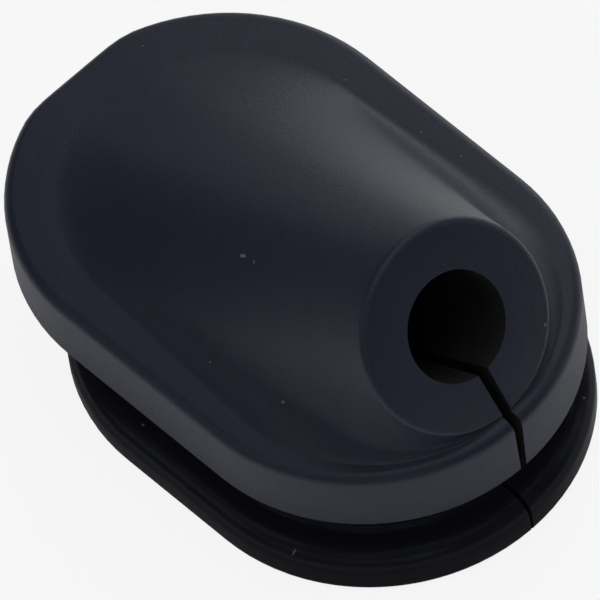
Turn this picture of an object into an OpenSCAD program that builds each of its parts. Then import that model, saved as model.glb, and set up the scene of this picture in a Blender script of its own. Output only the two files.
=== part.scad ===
// Rubber grommet for a cable that leaves a thin wall at a shallow angle.
// One moulding: an inner flange, a neck that fills the slot in the wall, and a cover that rises
// to a hood, with a slanted ring face where the cable comes out and a slit to slip the cable in.
// X runs along the slot towards the cable end, Y across it and Z out of the wall.
// The origin is under the middle of the cover, on the face of the inner flange. Millimetres.

/* [Cover] */
// Length of the cover, over the flat at its far end
cover_l = 22.3; // [21.2:0.1:24]
// Width of the cover
cover_w = 14.9; // [14.2:0.1:16]
// Height of the cover's rim
cover_t = 2.8; // [2:0.1:3.6]
// Radius of the rim's upper edge
rim_r = 0.4; // [0.2:0.05:0.6]
// Radius of the rim's lower edge
lip_r = 0.2; // [0.1:0.05:0.4]
// How much the flat takes off the far end
flat_depth = 0.3; // [0.25:0.05:0.5]
// Width of the flat ledge beside the hood
ledge_side = 1.3; // [0.9:0.05:1.6]
// Width of the flat ledge at the far end
ledge_far = 1.95; // [1:0.05:2.6]

/* [Inner flange] */
// Length of the inner flange
inner_l = 20.2; // [19:0.1:21]
// Width of the inner flange
inner_w = 15.2; // [14.2:0.1:16]
// Thickness of the inner flange
inner_t = 1.8; // [1.4:0.1:2.4]
// Radius of the edge next to the groove
inner_top_r = 0.8; // [0.4:0.05:1]
// Radius of the edge inside the frame
inner_base_r = 0.4; // [0.2:0.05:0.4]

/* [Groove] */
// Thickness of the wall that the groove holds
wall_t = 2.2; // [1.2:0.1:3]
// How deep the wall sits under the inner flange
groove_depth = 1.4; // [1:0.1:1.8]
// Radius at the foot of the groove
groove_r = 0.3; // [0.1:0.05:0.4]

/* [Cable hole] */
// Bore of the cable hole
bore_d = 4; // [3:0.1:5]
// Width of the flat ring round the hole
ring_wall = 1.84; // [1.2:0.02:2.2]
// Rise of the cable out of the wall, in degrees
bore_rise = 34; // [30:1:42]
// Gap between the rim's rounded edge and the foot of the ring
ring_gap = 0.1; // [0.1:0.05:0.6]
// Radius of the ring's outer edge at its top
ring_edge_r = 0.35; // [0.15:0.05:0.5]
// How hollow the hood's back is: 1 is straight
back_hollow = 1.2; // [1:0.05:1.8]
// How hollow the hood's sides are: 1 is straight
side_hollow = 1.6; // [1:0.05:2]

/* [Slit] */
// Width of the slit where it leaves the hole
slit_top_w = 0.44; // [0.2:0.02:0.7]
// Width of the slit at the inner flange's face
slit_base_w = 0.1; // [0.05:0.01:0.2]

/* [Hollow underside] */
// Wall between the neck's outside and the hollow
hollow_wall = 1.7; // [1.2:0.1:2.2]
// Rubber left between the hollow's roof and the top of the rim
roof_t = 1.9; // [1.4:0.1:2.4]

/* [Hidden] */

rubber = "#26282d";
overlap = 1;
near_tip = cover_l / 2;
near_c = near_tip - cover_w / 2;
far_c = cover_w / 2 - cover_l / 2 - flat_depth;
flat_blend = flat_depth * 2 / 3;

cover_z = inner_t + wall_t;
rim_z = cover_z + cover_t;
inner_c = near_tip - inner_w / 2;
inner_far_c = near_tip - inner_l + inner_w / 2;
neck_r = inner_w / 2 - groove_depth;
hollow_r = neck_r - hollow_wall;
hollow_z = rim_z - roof_t;

// The ring lies square to the bore and stands on the rim's upper edge with its foot
ring_r = bore_d / 2 + ring_wall;
foot_edge_r = ring_edge_r / 3;
ledge_near = rim_r + ring_gap;
ledge_ends = (ledge_near + ledge_far) / 2;
foot_x = near_tip - ledge_near;
foot_z = rim_z + ring_gap;
bore_out = [cos(bore_rise), 0, sin(bore_rise)];
ring_down = [sin(bore_rise), 0, -cos(bore_rise)];
ring_c = [foot_x, 0, foot_z] - ring_r * ring_down;
// The bore ends where its upper side has run out through the hollow's roof
bore_l = (ring_c[2] + bore_d / 2 * cos(bore_rise) - hollow_z) / sin(bore_rise);

// Steps of the cover's outline and of its skin
arc_steps = 44;
side_steps = 12;
edge_steps = 4;
hood_steps = 14;
// Above 1, the hood's steps are finer near its foot
step_grading = 1.4;
half_arc = PI * cover_w / 2;
side_l = near_c - far_c;
outline_l = 2 * (half_arc + side_l);

// A larger of two numbers that turns from one to the other over the length k
function soft_max(a, b, k) = max(a, b) + pow(max(k - abs(a - b), 0), 2) / (4 * k);

// Places round the cover: heading from the local centre, that centre, and length run so far
places = concat(
    [for (i = [0 : arc_steps - 1]) let (f = i / arc_steps)
        [180 * f - 90, near_c, half_arc * f]],
    [for (i = [0 : side_steps - 1]) let (f = i / side_steps)
        [90, near_c - side_l * f, half_arc + side_l * f]],
    [for (i = [0 : arc_steps - 1]) let (f = i / arc_steps)
        [180 * f + 90, far_c, half_arc + side_l + half_arc * f]],
    [for (i = [0 : side_steps - 1]) let (f = i / side_steps)
        [270, far_c + side_l * f, 2 * half_arc + side_l + side_l * f]]);

// Angle round the ring that a place on the outline belongs to, from the ring's foot
function ring_angle(p) = 360 * (p[2] - half_arc / 2) / outline_l;

// A point of the cover's rim, set in from its outline
function rim_point(p, inset, z) =
    let (r = cover_w / 2 - inset)
    [soft_max(p[1] + r * cos(p[0]), inset - cover_l / 2, flat_blend), r * sin(p[0]), z];

// The ring's edge gets sharper towards its foot
function edge_r(p) = foot_edge_r + (ring_edge_r - foot_edge_r) * (1 - cos(ring_angle(p))) / 2;

// A point of the ring's rounded edge: turn is 0 on the flank and 90 on the face
function ring_point(p, turn) =
    let (e = edge_r(p), r = ring_r - e * (1 - cos(turn)), a = ring_angle(p))
    ring_c + r * (cos(a) * ring_down + sin(a) * [0, 1, 0]) - e * (1 - sin(turn)) * bore_out;

// Width of the flat ledge between the rim's edge and the hood: least at the cable's end
function ledge_w(p) =
    let (a = ring_angle(p))
    (ledge_ends + ledge_side) / 2 + (ledge_near - ledge_far) / 2 * cos(a)
        + (ledge_ends - ledge_side) / 2 * cos(2 * a);

// A point of the hood's flank: f is 0 at its foot on the ledge and 1 at the ring
function flank_point(p, f) =
    let (a = rim_point(p, ledge_w(p), rim_z), b = ring_point(p, 0))
    let (hollow = back_hollow + (side_hollow - back_hollow) * pow(sin(ring_angle(p)), 2))
    [a[0] + (b[0] - a[0]) * f, a[1] + (b[1] - a[1]) * f, a[2] + (b[2] - a[2]) * pow(f, hollow)];

// Courses of the cover's skin, from its underside to the ring face
lip_turns = [for (i = [0 : edge_steps]) 90 - 90 * i / edge_steps];
edge_turns = [for (i = [0 : edge_steps]) 90 * i / edge_steps];
courses = concat(
    [for (t = lip_turns) [for (p = places)
        rim_point(p, lip_r * (1 - cos(t)), cover_z + lip_r * (1 - sin(t)))]],
    [for (t = edge_turns) [for (p = places)
        rim_point(p, rim_r * (1 - cos(t)), rim_z - rim_r * (1 - sin(t)))]],
    [for (i = [0 : hood_steps]) [for (p = places) flank_point(p, pow(i / hood_steps, step_grading))]],
    [for (i = [1 : edge_steps]) [for (p = places) ring_point(p, edge_turns[i])]]);

// Closed solid through the courses, with a flat face on the first and the last
module skin(rows, base_centre, face_centre) {
    n = len(rows[0]);
    m = len(rows);
    last = (m - 1) * n;
    points = concat([for (row = rows) each row], [base_centre, face_centre]);
    sides = [for (j = [0 : m - 2], i = [0 : n - 1])
        let (k = (i + 1) % n, low = j * n, high = low + n)
        each [[low + i, high + i, high + k], [low + i, high + k, low + k]]];
    base = [for (i = [0 : n - 1]) [m * n, i, (i + 1) % n]];
    face = [for (i = [0 : n - 1]) [m * n + 1, last + (i + 1) % n, last + i]];
    polyhedron(points, concat(sides, base, face));
}

// Outline with round ends between two centres
module slot_shape(r, c1, c2) {
    translate([c1, 0]) circle(r, $fn = 96);
    translate([c2, 0]) circle(r, $fn = 96);
    translate([c2, -r]) square([c1 - c2, 2 * r]);
}

// Half section of the inner flange, the groove's foot and the neck
module spool_section() {
    r = inner_w / 2;
    top_r = inner_top_r;
    base_r = inner_base_r;
    square([r - base_r, inner_t - top_r]);
    translate([0, base_r]) square([r, inner_t - top_r - base_r]);
    square([r - top_r, inner_t]);
    translate([r - base_r, base_r]) circle(base_r, $fn = 48);
    translate([r - top_r, inner_t - top_r]) circle(top_r, $fn = 48);
    square([neck_r, cover_z + overlap]);
    difference() {
        translate([0, inner_t - overlap]) square([neck_r + groove_r, overlap + groove_r]);
        translate([neck_r + groove_r, inner_t + groove_r]) circle(groove_r, $fn = 48);
    }
}

// Inner flange and neck, swept round the slot
module spool() {
    translate([inner_c, 0, 0]) rotate([0, 0, -90]) rotate_extrude(angle = 180, $fn = 96) spool_section();
    translate([inner_far_c, 0, 0]) rotate([0, 0, 90]) rotate_extrude(angle = 180, $fn = 96) spool_section();
    for (side = [0, 1])
        translate([(inner_c + inner_far_c) / 2, 0, 0]) rotate([0, 0, 180 * side]) rotate([90, 0, 90])
            linear_extrude(inner_c - inner_far_c, center = true) spool_section();
}

// Cover with the hood that carries the ring face
module cover() {
    skin(courses, [0, 0, cover_z], ring_c);
}

// Way of the cable, square to the ring face
module cable_bore() {
    translate(ring_c - bore_l * bore_out) rotate([0, 90 - bore_rise, 0])
        cylinder(d = bore_d, h = bore_l + overlap, $fn = 96);
}

// Hollow under the cover, where the cable turns into the frame
module underside() {
    translate([0, 0, -overlap]) linear_extrude(hollow_z + overlap)
        slot_shape(hollow_r, inner_c, inner_far_c);
}

// Slit from the bore out through the near end, tighter towards the inner flange
module slit() {
    bore_low = ring_c[2] - bore_d / 2;
    spread = (slit_top_w - slit_base_w) / bore_low;
    low_w = slit_base_w - spread * overlap;
    high_z = ring_c[2] + overlap;
    high_w = slit_base_w + spread * high_z;
    inner_end = ring_c - bore_l * bore_out;
    outer_end = ring_c + overlap * bore_out;
    reach = near_tip + overlap;
    intersection() {
        rotate([90, 0, 90]) linear_extrude(reach)
            polygon([[-low_w / 2, -overlap], [low_w / 2, -overlap], [high_w / 2, high_z], [-high_w / 2, high_z]]);
        rotate([90, 0, 0]) linear_extrude(cover_w, center = true)
            polygon([[inner_end[0], inner_end[2]], [inner_end[0], -2 * overlap], [reach, -2 * overlap],
                [reach, outer_end[2]], [outer_end[0], outer_end[2]]]);
    }
}

module grommet() {
    color(rubber)
    difference() {
        union() {
            spool();
            cover();
        }
        cable_bore();
        underside();
        slit();
    }
}

grommet();
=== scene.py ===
"""Rubber cable grommet with a slanted hood: its finishes, its dust and the stage it is shown on.

Everything is in metres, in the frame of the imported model: X along the slot towards the cable end,
Y across it, Z out of the wall, and the origin on the inner flange's outer face.
"""

import math
import random
from collections import namedtuple

import bmesh
import bpy
from bpy.props import FloatProperty, FloatVectorProperty, IntProperty, PointerProperty
from mathutils import Matrix, Vector
from mathutils.bvhtree import BVHTree


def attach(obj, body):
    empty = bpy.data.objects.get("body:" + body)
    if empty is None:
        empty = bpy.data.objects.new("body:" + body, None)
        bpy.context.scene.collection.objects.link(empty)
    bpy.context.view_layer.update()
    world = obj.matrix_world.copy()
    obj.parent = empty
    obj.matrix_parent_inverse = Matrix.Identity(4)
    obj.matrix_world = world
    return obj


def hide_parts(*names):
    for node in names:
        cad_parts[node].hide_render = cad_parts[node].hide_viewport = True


bl_info = {
    "name": "Rubber Cable Grommet",
    "version": (1, 0, 0),
    "blender": (4, 5, 0),
    "location": "View3D > Sidebar > Grommet",
    "description": "Finishes, dust and stage for a slit rubber grommet with a slanted hood",
    "category": "Object",
}

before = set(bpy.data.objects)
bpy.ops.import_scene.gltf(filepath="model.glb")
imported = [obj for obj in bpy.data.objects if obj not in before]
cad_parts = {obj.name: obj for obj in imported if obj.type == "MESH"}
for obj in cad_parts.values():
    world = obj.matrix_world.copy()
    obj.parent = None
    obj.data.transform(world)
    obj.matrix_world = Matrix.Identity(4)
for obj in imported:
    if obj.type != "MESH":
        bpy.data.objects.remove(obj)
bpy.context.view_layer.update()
MM = 0.001
BODY = "root"
NODE = "grommet"

# The photograph: a square of 600 pixels, seen through a long lens. The reference point, in millimetres,
# shows at its own pixel, counted from the left and from the top. Scale, pixel and directions come from a
# least-squares fit of the model's outline, hole and slit to the photograph's, and the distance is a choice.
IMAGE_PX = 600
PX_PER_MM = 28.696
CAMERA_MM = 600.0
REFERENCE = Vector((3.7, 0.0, 4.0))
REFERENCE_PX_ACROSS = 375.0
REFERENCE_PX_DOWN = 349.2
# The picture's right and up directions in the part's frame
RIGHT = Vector((0.6926, 0.7157, -0.0900))
UP = Vector((-0.5543, 0.6078, 0.5686))
# The camera's square sensor, as wide as a frame of 35 mm film, in millimetres, and its clipping in metres
SENSOR = 36.0
CLIP_NEAR = 0.01
CLIP_FAR = 10.0

# Largest angle between two faces that still shade as one surface
SMOOTH_ANGLE = math.radians(55)
# Points closer than this, in metres, are one point
WELD = 1e-7

# The moulding's finishes, by their place in its list of materials
GRAINED, SMOOTH, MATT = range(3)

# Height in millimetres that parts the grained cover from the smooth skin of the neck and the inner flange
COVER_FLOOR = 4.0

# The cable's bore leaves the cover at 34 degrees, and the slit runs from it to the cable end. In millimetres,
# the bore's mouth, its radius and half the slit's width, both with a little to spare
BORE_RISE = math.radians(34)
BORE_AXIS = Vector((math.cos(BORE_RISE), 0, math.sin(BORE_RISE)))
BORE_MOUTH = Vector((8.5, 0, 10.08))
BORE_R = 2.02
SLIT_HALF = 0.3
# How much of a face's normal lies along the bore at most, for its wall, and across the slit at least, for
# the slit's sides
BORE_WALL_LEAN = 0.5
SLIT_SIDE_LEAN = 0.9


def linear(code):
    """Linear RGBA of an sRGB hex colour."""
    parts = [int(code[i:i + 2], 16) / 255 for i in (1, 3, 5)]
    return [p / 12.92 if p <= 0.04045 else ((p + 0.055) / 1.055) ** 2.4 for p in parts] + [1.0]


def add_node(tree, kind, links=None, **settings):
    """A node with its settings and its inputs. An input is a socket to link from or a value."""
    node = tree.nodes.new(kind)
    for key, value in settings.items():
        setattr(node, key, value)
    for key, value in (links or {}).items():
        if isinstance(value, bpy.types.NodeSocket):
            tree.links.new(value, node.inputs[key])
        else:
            node.inputs[key].default_value = value
    return node


def new_material(name):
    """An empty node material and its tree."""
    material = bpy.data.materials.new(name)
    material.use_nodes = True
    material.node_tree.nodes.clear()
    return material, material.node_tree


def camera_axes():
    """Right, up and back of the photograph's camera, as unit vectors."""
    back = RIGHT.cross(UP).normalized()
    right = RIGHT.normalized()
    return right, back.cross(right), back


def camera_place():
    """Where the camera stands: the reference point lands on its pixel of the photograph."""
    right, up, back = camera_axes()
    aside = (IMAGE_PX / 2 - REFERENCE_PX_ACROSS) / PX_PER_MM
    above = (REFERENCE_PX_DOWN - IMAGE_PX / 2) / PX_PER_MM
    return (REFERENCE + back * CAMERA_MM + right * aside + up * above) * MM


def pixel_ray(across, down):
    """Direction from the camera through a pixel of the photograph."""
    right, up, back = camera_axes()
    focal = PX_PER_MM * CAMERA_MM
    aside = (across - IMAGE_PX / 2) / focal
    above = (IMAGE_PX / 2 - down) / focal
    return (right * aside + up * above - back).normalized()


class GrommetSettings(bpy.types.PropertyGroup):
    """Sizes and colours of the rubber."""
    cover_color: FloatVectorProperty(
        name="Cover", description="Colour of the grained rubber on the cover",
        subtype="COLOR", size=4, min=0, max=1, default=linear("#191d2f"))
    skin_color: FloatVectorProperty(
        name="Inner flange", description="Colour of the smooth rubber skin",
        subtype="COLOR", size=4, min=0, max=1, default=linear("#1f2027"))
    bore_color: FloatVectorProperty(
        name="Bore", description="Colour of the rubber in the bore and the slit",
        subtype="COLOR", size=4, min=0, max=1, default=linear("#242423"))
    cover_rough: FloatProperty(
        name="Cover roughness", description="Roughness of the grained rubber",
        min=0, max=1, default=0.62)
    skin_rough: FloatProperty(
        name="Flange roughness", description="Roughness of the smooth skin",
        min=0, max=1, default=0.2)
    wax: FloatProperty(
        name="Wax", description="Weight of the wax film on the cover",
        min=0, max=1, default=0.27)
    bore_rough: FloatProperty(
        name="Bore roughness", description="Roughness of the rubber in the bore and the slit",
        min=0, max=1, default=0.9)
    cover_gloss: FloatProperty(
        name="Cover gloss", description="Specular level of the grained rubber",
        min=0, max=1, default=0.21)
    skin_gloss: FloatProperty(
        name="Flange gloss", description="Specular level of the smooth skin",
        min=0, max=1, default=0.05)
    bore_gloss: FloatProperty(
        name="Bore gloss", description="Specular level of the rubber in the bore and the slit",
        min=0, max=1, default=0.08)
    grain: FloatProperty(
        name="Grain", description="Width of one grain of the cover's surface",
        subtype="DISTANCE", unit="LENGTH", min=0.00002, max=0.001, default=0.00007)


class DustSettings(bpy.types.PropertyGroup):
    """Specks of dust that lie on the rubber."""
    dust_color: FloatVectorProperty(
        name="Dust", description="Colour of the dust",
        subtype="COLOR", size=4, min=0, max=1, default=linear("#65676b"))
    seed: IntProperty(
        name="Seed", description="Seed of the specks' uneven edges", min=0, default=3)


class StageSettings(bpy.types.PropertyGroup):
    """Floor, lamps and world."""
    floor_color: FloatVectorProperty(
        name="Floor", description="Colour of the floor",
        subtype="COLOR", size=4, min=0, max=1, default=linear("#e9e9e8"))
    paper_white: FloatProperty(
        name="Paper white", description="Share of plain white in the floor as it is seen",
        min=0, max=1, default=0.88)
    floor_size: FloatProperty(
        name="Floor size", description="Side of the square floor",
        subtype="DISTANCE", unit="LENGTH", min=0.1, max=10, default=2.0)
    world_level: FloatProperty(
        name="World", description="Brightness of the world on the object",
        min=0, max=2, default=0.0)


# Carbon black's fine surface scatters the shine a little bluer than the lamps
SHEEN_TINT = (0.84, 0.90, 1.0, 1.0)
RUBBER_IOR = 1.52
# The thin film of wax that blooms on EPDM shines at a glancing angle
WAX_ROUGH = 0.34
# A noise's middle stretch, which holds nearly all of its values
NOISE_LOW, NOISE_HIGH = 0.3, 0.7
# How far the grains' colour, the bloom's colour and the grains' roughness swing to either side
GRAIN_SHADE = 0.16
BLOOM_SHADE = 0.06
ROUGH_SWING = 0.1
# Bloom and handling leave faint clouds this many grains wide, about a millimetre
CLOUD_GRAINS = 14
# Height of the grains on the cover, on the smooth skin and in the bore, in millimetres
COVER_BUMP = 0.013
SKIN_BUMP = 0.002
BORE_BUMP = 0.004


def swing(tree, noise, low, high):
    """A value that runs from low to high over the noise's middle stretch."""
    node = add_node(tree, "ShaderNodeMapRange", {
        "Value": noise.outputs["Fac"], "From Min": NOISE_LOW, "From Max": NOISE_HIGH,
        "To Min": low, "To Max": high})
    return node.outputs["Result"]


def rubber(name, color, rough, gloss, grain, bump_mm, wax=0.0):
    """Moulded EPDM rubber. Carbon black gives the dark colour, and the spark-eroded mould its fine grain."""
    material, tree = new_material(name)
    place = add_node(tree, "ShaderNodeTexCoord").outputs["Object"]
    # The mould's texture, whose grain is about 0.07 mm
    grains = add_node(tree, "ShaderNodeTexNoise", {
        "Vector": place, "Scale": 1 / grain, "Detail": 3.0, "Roughness": 0.6})
    cloud = add_node(tree, "ShaderNodeTexNoise", {
        "Vector": place, "Scale": 1 / (CLOUD_GRAINS * grain), "Detail": 2.0, "Roughness": 0.5})
    shade = add_node(tree, "ShaderNodeMath", {
        0: swing(tree, grains, 1 - GRAIN_SHADE, 1 + GRAIN_SHADE),
        1: swing(tree, cloud, 1 - BLOOM_SHADE, 1 + BLOOM_SHADE)}, operation="MULTIPLY")
    tint = add_node(tree, "ShaderNodeVectorMath", {0: color[:3], "Scale": shade.outputs[0]},
                    operation="SCALE")
    # The grains' tops are rubbed a little smoother than the pits between them
    matt = swing(tree, grains, rough + ROUGH_SWING, rough - ROUGH_SWING)
    bump = add_node(tree, "ShaderNodeBump", {
        "Height": grains.outputs["Fac"], "Distance": bump_mm * MM, "Strength": 1.0})
    skin = add_node(tree, "ShaderNodeBsdfPrincipled", {
        "Base Color": tint.outputs["Vector"], "Roughness": matt, "IOR": RUBBER_IOR,
        "Specular IOR Level": gloss, "Specular Tint": SHEEN_TINT,
        "Coat Weight": wax, "Coat Roughness": WAX_ROUGH, "Coat Normal": bump.outputs["Normal"],
        "Normal": bump.outputs["Normal"]})
    add_node(tree, "ShaderNodeOutputMaterial", {"Surface": skin.outputs["BSDF"]})
    return material


def finish_of(face):
    """Which finish a face has: grained on the cover, smooth under it, matt in the bore and the slit."""
    middle = face.calc_center_median()
    off_axis = middle - BORE_MOUTH * MM
    off_axis -= off_axis.dot(BORE_AXIS) * BORE_AXIS
    in_bore = (off_axis.length < BORE_R * MM + WELD
               and abs(face.normal.dot(BORE_AXIS)) < BORE_WALL_LEAN)
    in_slit = abs(middle.y) < SLIT_HALF * MM and abs(face.normal.y) > SLIT_SIDE_LEAN
    if in_bore or in_slit:
        return MATT
    return SMOOTH if middle.z < COVER_FLOOR * MM - WELD else GRAINED


class GROMMET_OT_body(bpy.types.Operator):
    """Give the moulding its smooth shading and its three rubber finishes"""
    bl_idname = "grommet.body"
    bl_label = "Rubber moulding"

    def execute(self, context):
        look = context.scene.grommet
        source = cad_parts[NODE]
        mesh = bpy.data.meshes.new("moulding")
        work = bmesh.new()
        work.from_mesh(source.data)
        bmesh.ops.remove_doubles(work, verts=work.verts, dist=WELD)
        for face in work.faces:
            face.smooth = True
            face.material_index = finish_of(face)
        for edge in work.edges:
            edge.smooth = len(edge.link_faces) == 2 and edge.calc_face_angle(math.pi) < SMOOTH_ANGLE
        work.to_mesh(mesh)
        work.free()
        # GRAINED: the cover, from a mould with a fine spark-eroded grain, with a thin bloom of wax
        mesh.materials.append(rubber("grained moulded EPDM rubber", look.cover_color,
                                     look.cover_rough, look.cover_gloss, look.grain, COVER_BUMP, look.wax))
        # SMOOTH: the neck and the inner flange, from the mould's polished half
        mesh.materials.append(rubber("smooth skinned EPDM rubber", look.skin_color,
                                     look.skin_rough, look.skin_gloss, look.grain, SKIN_BUMP))
        # MATT: the bore, drawn off its core pin, and the cut faces of the slit
        mesh.materials.append(rubber("matt EPDM rubber in the bore and the slit", look.bore_color,
                                     look.bore_rough, look.bore_gloss, look.grain, BORE_BUMP))
        piece = bpy.data.objects.new("moulding", mesh)
        context.scene.collection.objects.link(piece)
        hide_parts(NODE)
        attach(piece, BODY)
        return {"FINISHED"}


# Specks of dust: the pixel of the photograph that each lies at, its length and width in millimetres and its
# turn in degrees. Eleven of them show in the photograph. The second one and the one at 250 pixels across
# don't stand out of its noise, and are guesses.
Speck = namedtuple("Speck", "px_across px_down length width turn")
DUST = (
    Speck(px_across=243, px_down=256, length=0.30, width=0.14, turn=50),
    Speck(px_across=254, px_down=262, length=0.16, width=0.07, turn=-20),
    Speck(px_across=283, px_down=402, length=0.16, width=0.12, turn=30),
    Speck(px_across=143, px_down=425, length=0.14, width=0.10, turn=0),
    Speck(px_across=294, px_down=552, length=0.30, width=0.07, turn=75),
    Speck(px_across=545, px_down=325, length=0.15, width=0.12, turn=80),
    Speck(px_across=584, px_down=398, length=0.12, width=0.10, turn=0),
    Speck(px_across=461, px_down=156, length=0.10, width=0.07, turn=20),
    Speck(px_across=143, px_down=46, length=0.12, width=0.05, turn=10),
    Speck(px_across=346, px_down=80, length=0.09, width=0.07, turn=40),
    Speck(px_across=421, px_down=132, length=0.10, width=0.06, turn=0),
    Speck(px_across=250, px_down=105, length=0.07, width=0.05, turn=70),
    Speck(px_across=210, px_down=362, length=0.08, width=0.06, turn=15),
)
# In millimetres
FLAKE_THICK = 0.03
# The least and the most that a point of a flake's edge moves in or out
FLAKE_RAGGED = (0.75, 1.1)


class GROMMET_OT_dust(bpy.types.Operator):
    """Lay the specks of dust on the rubber, each at its pixel of the photograph"""
    bl_idname = "grommet.dust"
    bl_label = "Dust"

    def execute(self, context):
        look = context.scene.grommet_dust
        rng = random.Random(look.seed)
        under = bmesh.new()
        under.from_mesh(bpy.data.objects["moulding"].data)
        surface = BVHTree.FromBMesh(under)
        work = bmesh.new()
        for speck in DUST:
            hit, normal, _, _ = surface.ray_cast(camera_place(), pixel_ray(speck.px_across, speck.px_down))
            if hit is None:
                raise RuntimeError("a speck of dust misses the rubber")
            flake = bmesh.ops.create_icosphere(work, subdivisions=2, radius=0.5)["verts"]
            for vert in flake:
                vert.co *= rng.uniform(*FLAKE_RAGGED)
            bmesh.ops.scale(work, verts=flake, vec=Vector((speck.length, speck.width, FLAKE_THICK)) * MM)
            turn = Matrix.Rotation(math.radians(speck.turn), 3, "Z")
            lie = normal.to_track_quat("Z", "Y").to_matrix() @ turn
            bmesh.ops.rotate(work, verts=flake, matrix=lie)
            bmesh.ops.translate(work, verts=flake, vec=hit)
        under.free()
        bmesh.ops.recalc_face_normals(work, faces=work.faces)
        mesh = bpy.data.meshes.new("dust")
        work.to_mesh(mesh)
        work.free()
        # Pale grey lint, too small to show a weave
        material, tree = new_material("household dust")
        fluff = add_node(tree, "ShaderNodeBsdfPrincipled", {
            "Base Color": look.dust_color, "Roughness": 1.0})
        add_node(tree, "ShaderNodeOutputMaterial", {"Surface": fluff.outputs["BSDF"]})
        mesh.materials.append(material)
        piece = bpy.data.objects.new("dust", mesh)
        context.scene.collection.objects.link(piece)
        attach(piece, BODY)
        return {"FINISHED"}


# Soft round lamps on a dome. The power is in milliwatts, the place in degrees of azimuth and elevation as
# seen from the grommet. The key lights the hood's far flank, and the low lamp under it draws the bright
# streak. The powers are rounded and grouped from a fit of one-lamp renders to the photograph's tones.
TOP_POWER = 135
KEY_POWER = 140
STREAK_POWER = 170
FILL_POWER = 55
SOFT_POWER = 32
LAMPS = (
    (TOP_POWER, ((0, 85),)),
    (KEY_POWER, ((120, 58),)),
    (STREAK_POWER, ((120, 8),)),
    (FILL_POWER, ((60, 30), (120, 30), (150, 30), (240, 30), (330, 30), (240, 58))),
    (SOFT_POWER, ((60, 8), (90, 8), (270, 30), (300, 30), (0, 58), (60, 58), (300, 58))),
)
# Share of the lamps' power that is used, their width and their distance from the point they aim at
LAMP_LEVEL = 0.85
LAMP_SIZE = 0.13
LAMP_REACH = 0.3
LAMP_AIM = Vector((0, 0, 6)) * MM
MILLIWATT = 0.001

# A painted shadow on the paper as the rubber mirrors it: close round the grommet's foot, where the real
# shadow lies, the white that glossy rays see is faded out.
# Half the length of the middle line, and the distances from it where the white starts and is full, in metres
FOOT_HALF = 0.0037
PAINTED_SHADOW_FULL_TO = 0.0085
PAINTED_SHADOW_GONE_AT = 0.0125
# The paper lies a hair under the inner flange, so the two faces never share one plane
FLOOR_GAP = 0.00002


def paper(look):
    """Matt white paper: white as it is seen and as the rubber mirrors it, with the grommet's real shadow on
    it and a painted shadow round its foot in what the rubber mirrors.
    """
    material, tree = new_material("matt white paper")
    path = add_node(tree, "ShaderNodeLightPath")
    matt = add_node(tree, "ShaderNodeBsdfDiffuse", {"Color": look.floor_color})
    glow = add_node(tree, "ShaderNodeEmission", {"Color": (1, 1, 1, 1), "Strength": 1.0})
    # How far a point of the paper lies from the grommet's middle line, for the painted shadow close round its
    # foot
    place = add_node(tree, "ShaderNodeTexCoord")
    point = add_node(tree, "ShaderNodeSeparateXYZ", {0: place.outputs["Object"]})
    along = add_node(tree, "ShaderNodeMath", {0: point.outputs["X"]}, operation="ABSOLUTE")
    past_end = add_node(tree, "ShaderNodeMath", {0: along.outputs[0], 1: FOOT_HALF}, operation="SUBTRACT")
    beyond = add_node(tree, "ShaderNodeMath", {0: past_end.outputs[0], 1: 0.0}, operation="MAXIMUM")
    off = add_node(tree, "ShaderNodeCombineXYZ", {"X": beyond.outputs[0], "Y": point.outputs["Y"]})
    away = add_node(tree, "ShaderNodeVectorMath", {0: off.outputs[0]}, operation="LENGTH")
    clear = add_node(tree, "ShaderNodeMapRange", {
        "Value": away.outputs["Value"], "From Min": PAINTED_SHADOW_FULL_TO, "From Max": PAINTED_SHADOW_GONE_AT},
        interpolation_type="SMOOTHSTEP")
    # Painted shadow: glossy rays see the white only outside the dark ring round the foot
    mirrored_white_past_painted_shadow = add_node(tree, "ShaderNodeMath", {
        0: path.outputs["Is Glossy Ray"], 1: clear.outputs["Result"]}, operation="MULTIPLY")
    seen = add_node(tree, "ShaderNodeMath", {
        0: path.outputs["Is Camera Ray"], 1: look.paper_white}, operation="MULTIPLY")
    share = add_node(tree, "ShaderNodeMath", {
        0: seen.outputs[0], 1: mirrored_white_past_painted_shadow.outputs[0]}, operation="MAXIMUM")
    mix = add_node(tree, "ShaderNodeMixShader", {
        0: share.outputs[0], 1: matt.outputs[0], 2: glow.outputs[0]})
    add_node(tree, "ShaderNodeOutputMaterial", {"Surface": mix.outputs[0]})
    # The white is only looked up by rays that meet the floor, so it never lights the grommet as a lamp
    material.cycles.emission_sampling = "NONE"
    return material


def set_floor(scene, look):
    """A square of paper under the grommet."""
    mesh = bpy.data.meshes.new("floor")
    work = bmesh.new()
    bmesh.ops.create_grid(work, x_segments=1, y_segments=1, size=look.floor_size / 2,
                          matrix=Matrix.Translation((0, 0, -FLOOR_GAP)))
    work.to_mesh(mesh)
    work.free()
    mesh.materials.append(paper(look))
    floor = bpy.data.objects.new("floor", mesh)
    scene.collection.objects.link(floor)


def set_world(scene, look):
    """A world that is white behind everything, and as bright on the grommet as the settings say."""
    world = bpy.data.worlds.new("studio")
    world.use_nodes = True
    world.node_tree.nodes.clear()
    tree = world.node_tree
    path = add_node(tree, "ShaderNodeLightPath")
    level = add_node(tree, "ShaderNodeMapRange", {
        "Value": path.outputs["Is Camera Ray"], "To Min": look.world_level, "To Max": 1.0})
    sky = add_node(tree, "ShaderNodeBackground", {
        "Color": (1, 1, 1, 1), "Strength": level.outputs["Result"]})
    add_node(tree, "ShaderNodeOutputWorld", {"Surface": sky.outputs[0]})
    scene.world = world


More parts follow.
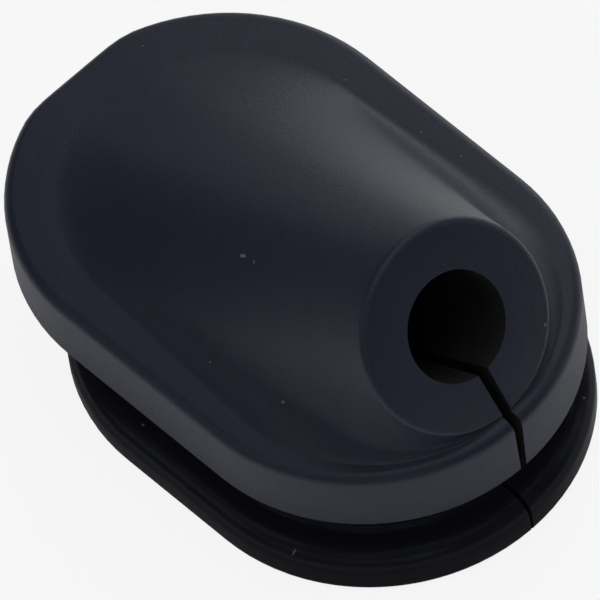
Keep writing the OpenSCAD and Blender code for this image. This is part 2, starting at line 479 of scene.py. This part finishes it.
def set_lamp(scene, azimuth, elevation, power):
    """A soft round lamp on the dome."""
    turn, rise = math.radians(azimuth), math.radians(elevation)
    level_part = math.cos(rise)
    away = Vector((math.cos(turn) * level_part, math.sin(turn) * level_part, math.sin(rise)))
    light = bpy.data.lights.new(f"softbox_{azimuth}_{elevation}", "AREA")
    light.shape = "DISK"
    light.size = LAMP_SIZE
    light.energy = power * LAMP_LEVEL * MILLIWATT
    lamp = bpy.data.objects.new(light.name, light)
    lamp.matrix_world = (Matrix.Translation(LAMP_AIM + away * LAMP_REACH)
                         @ away.to_track_quat("Z", "Y").to_matrix().to_4x4())
    scene.collection.objects.link(lamp)


def set_camera(scene):
    """The photograph's camera."""
    right, up, back = camera_axes()
    lens = bpy.data.cameras.new("camera")
    lens.sensor_width = lens.sensor_height = SENSOR
    lens.lens = SENSOR * PX_PER_MM * CAMERA_MM / IMAGE_PX
    lens.clip_start = CLIP_NEAR
    lens.clip_end = CLIP_FAR
    camera = bpy.data.objects.new("camera", lens)
    facing = Matrix((right, up, back)).transposed().to_4x4()
    camera.matrix_world = Matrix.Translation(camera_place()) @ facing
    scene.collection.objects.link(camera)
    scene.camera = camera


class GROMMET_OT_stage(bpy.types.Operator):
    """Set the floor, the lamps, the world and the photograph's camera"""
    bl_idname = "grommet.stage"
    bl_label = "Stage"

    def execute(self, context):
        scene = context.scene
        look = scene.grommet_stage
        set_floor(scene, look)
        set_world(scene, look)
        for power, places in LAMPS:
            for azimuth, elevation in places:
                set_lamp(scene, azimuth, elevation, power)
        set_camera(scene)
        scene.view_settings.view_transform = "Standard"
        return {"FINISHED"}


class GROMMET_PT_panel(bpy.types.Panel):
    """Lists the grommet's pieces and their settings"""
    bl_label = "Grommet"
    bl_idname = "GROMMET_PT_panel"
    bl_space_type = "VIEW_3D"
    bl_region_type = "UI"
    bl_category = "Grommet"

    def draw(self, context):
        for group, operator in (("grommet", "grommet.body"), ("grommet_dust", "grommet.dust"),
                                ("grommet_stage", "grommet.stage")):
            box = self.layout.box()
            settings = getattr(context.scene, group)
            for key in settings.__annotations__:
                box.prop(settings, key)
            box.operator(operator)


GROUPS = (("grommet", GrommetSettings), ("grommet_dust", DustSettings), ("grommet_stage", StageSettings))
CLASSES = (GrommetSettings, DustSettings, StageSettings,
           GROMMET_OT_body, GROMMET_OT_dust, GROMMET_OT_stage, GROMMET_PT_panel)


def register():
    """Register the settings, the operators and the panel."""
    for cls in CLASSES:
        bpy.utils.register_class(cls)
    for name, group in GROUPS:
        setattr(bpy.types.Scene, name, PointerProperty(type=group))


def unregister():
    """Take them all away again."""
    for name, _ in GROUPS:
        delattr(bpy.types.Scene, name)
    for cls in reversed(CLASSES):
        bpy.utils.unregister_class(cls)


def main():
    """Make the pieces and the stage."""
    register()
    bpy.ops.grommet.body()
    bpy.ops.grommet.dust()
    bpy.ops.grommet.stage()


if __name__ == "__main__":
    main()
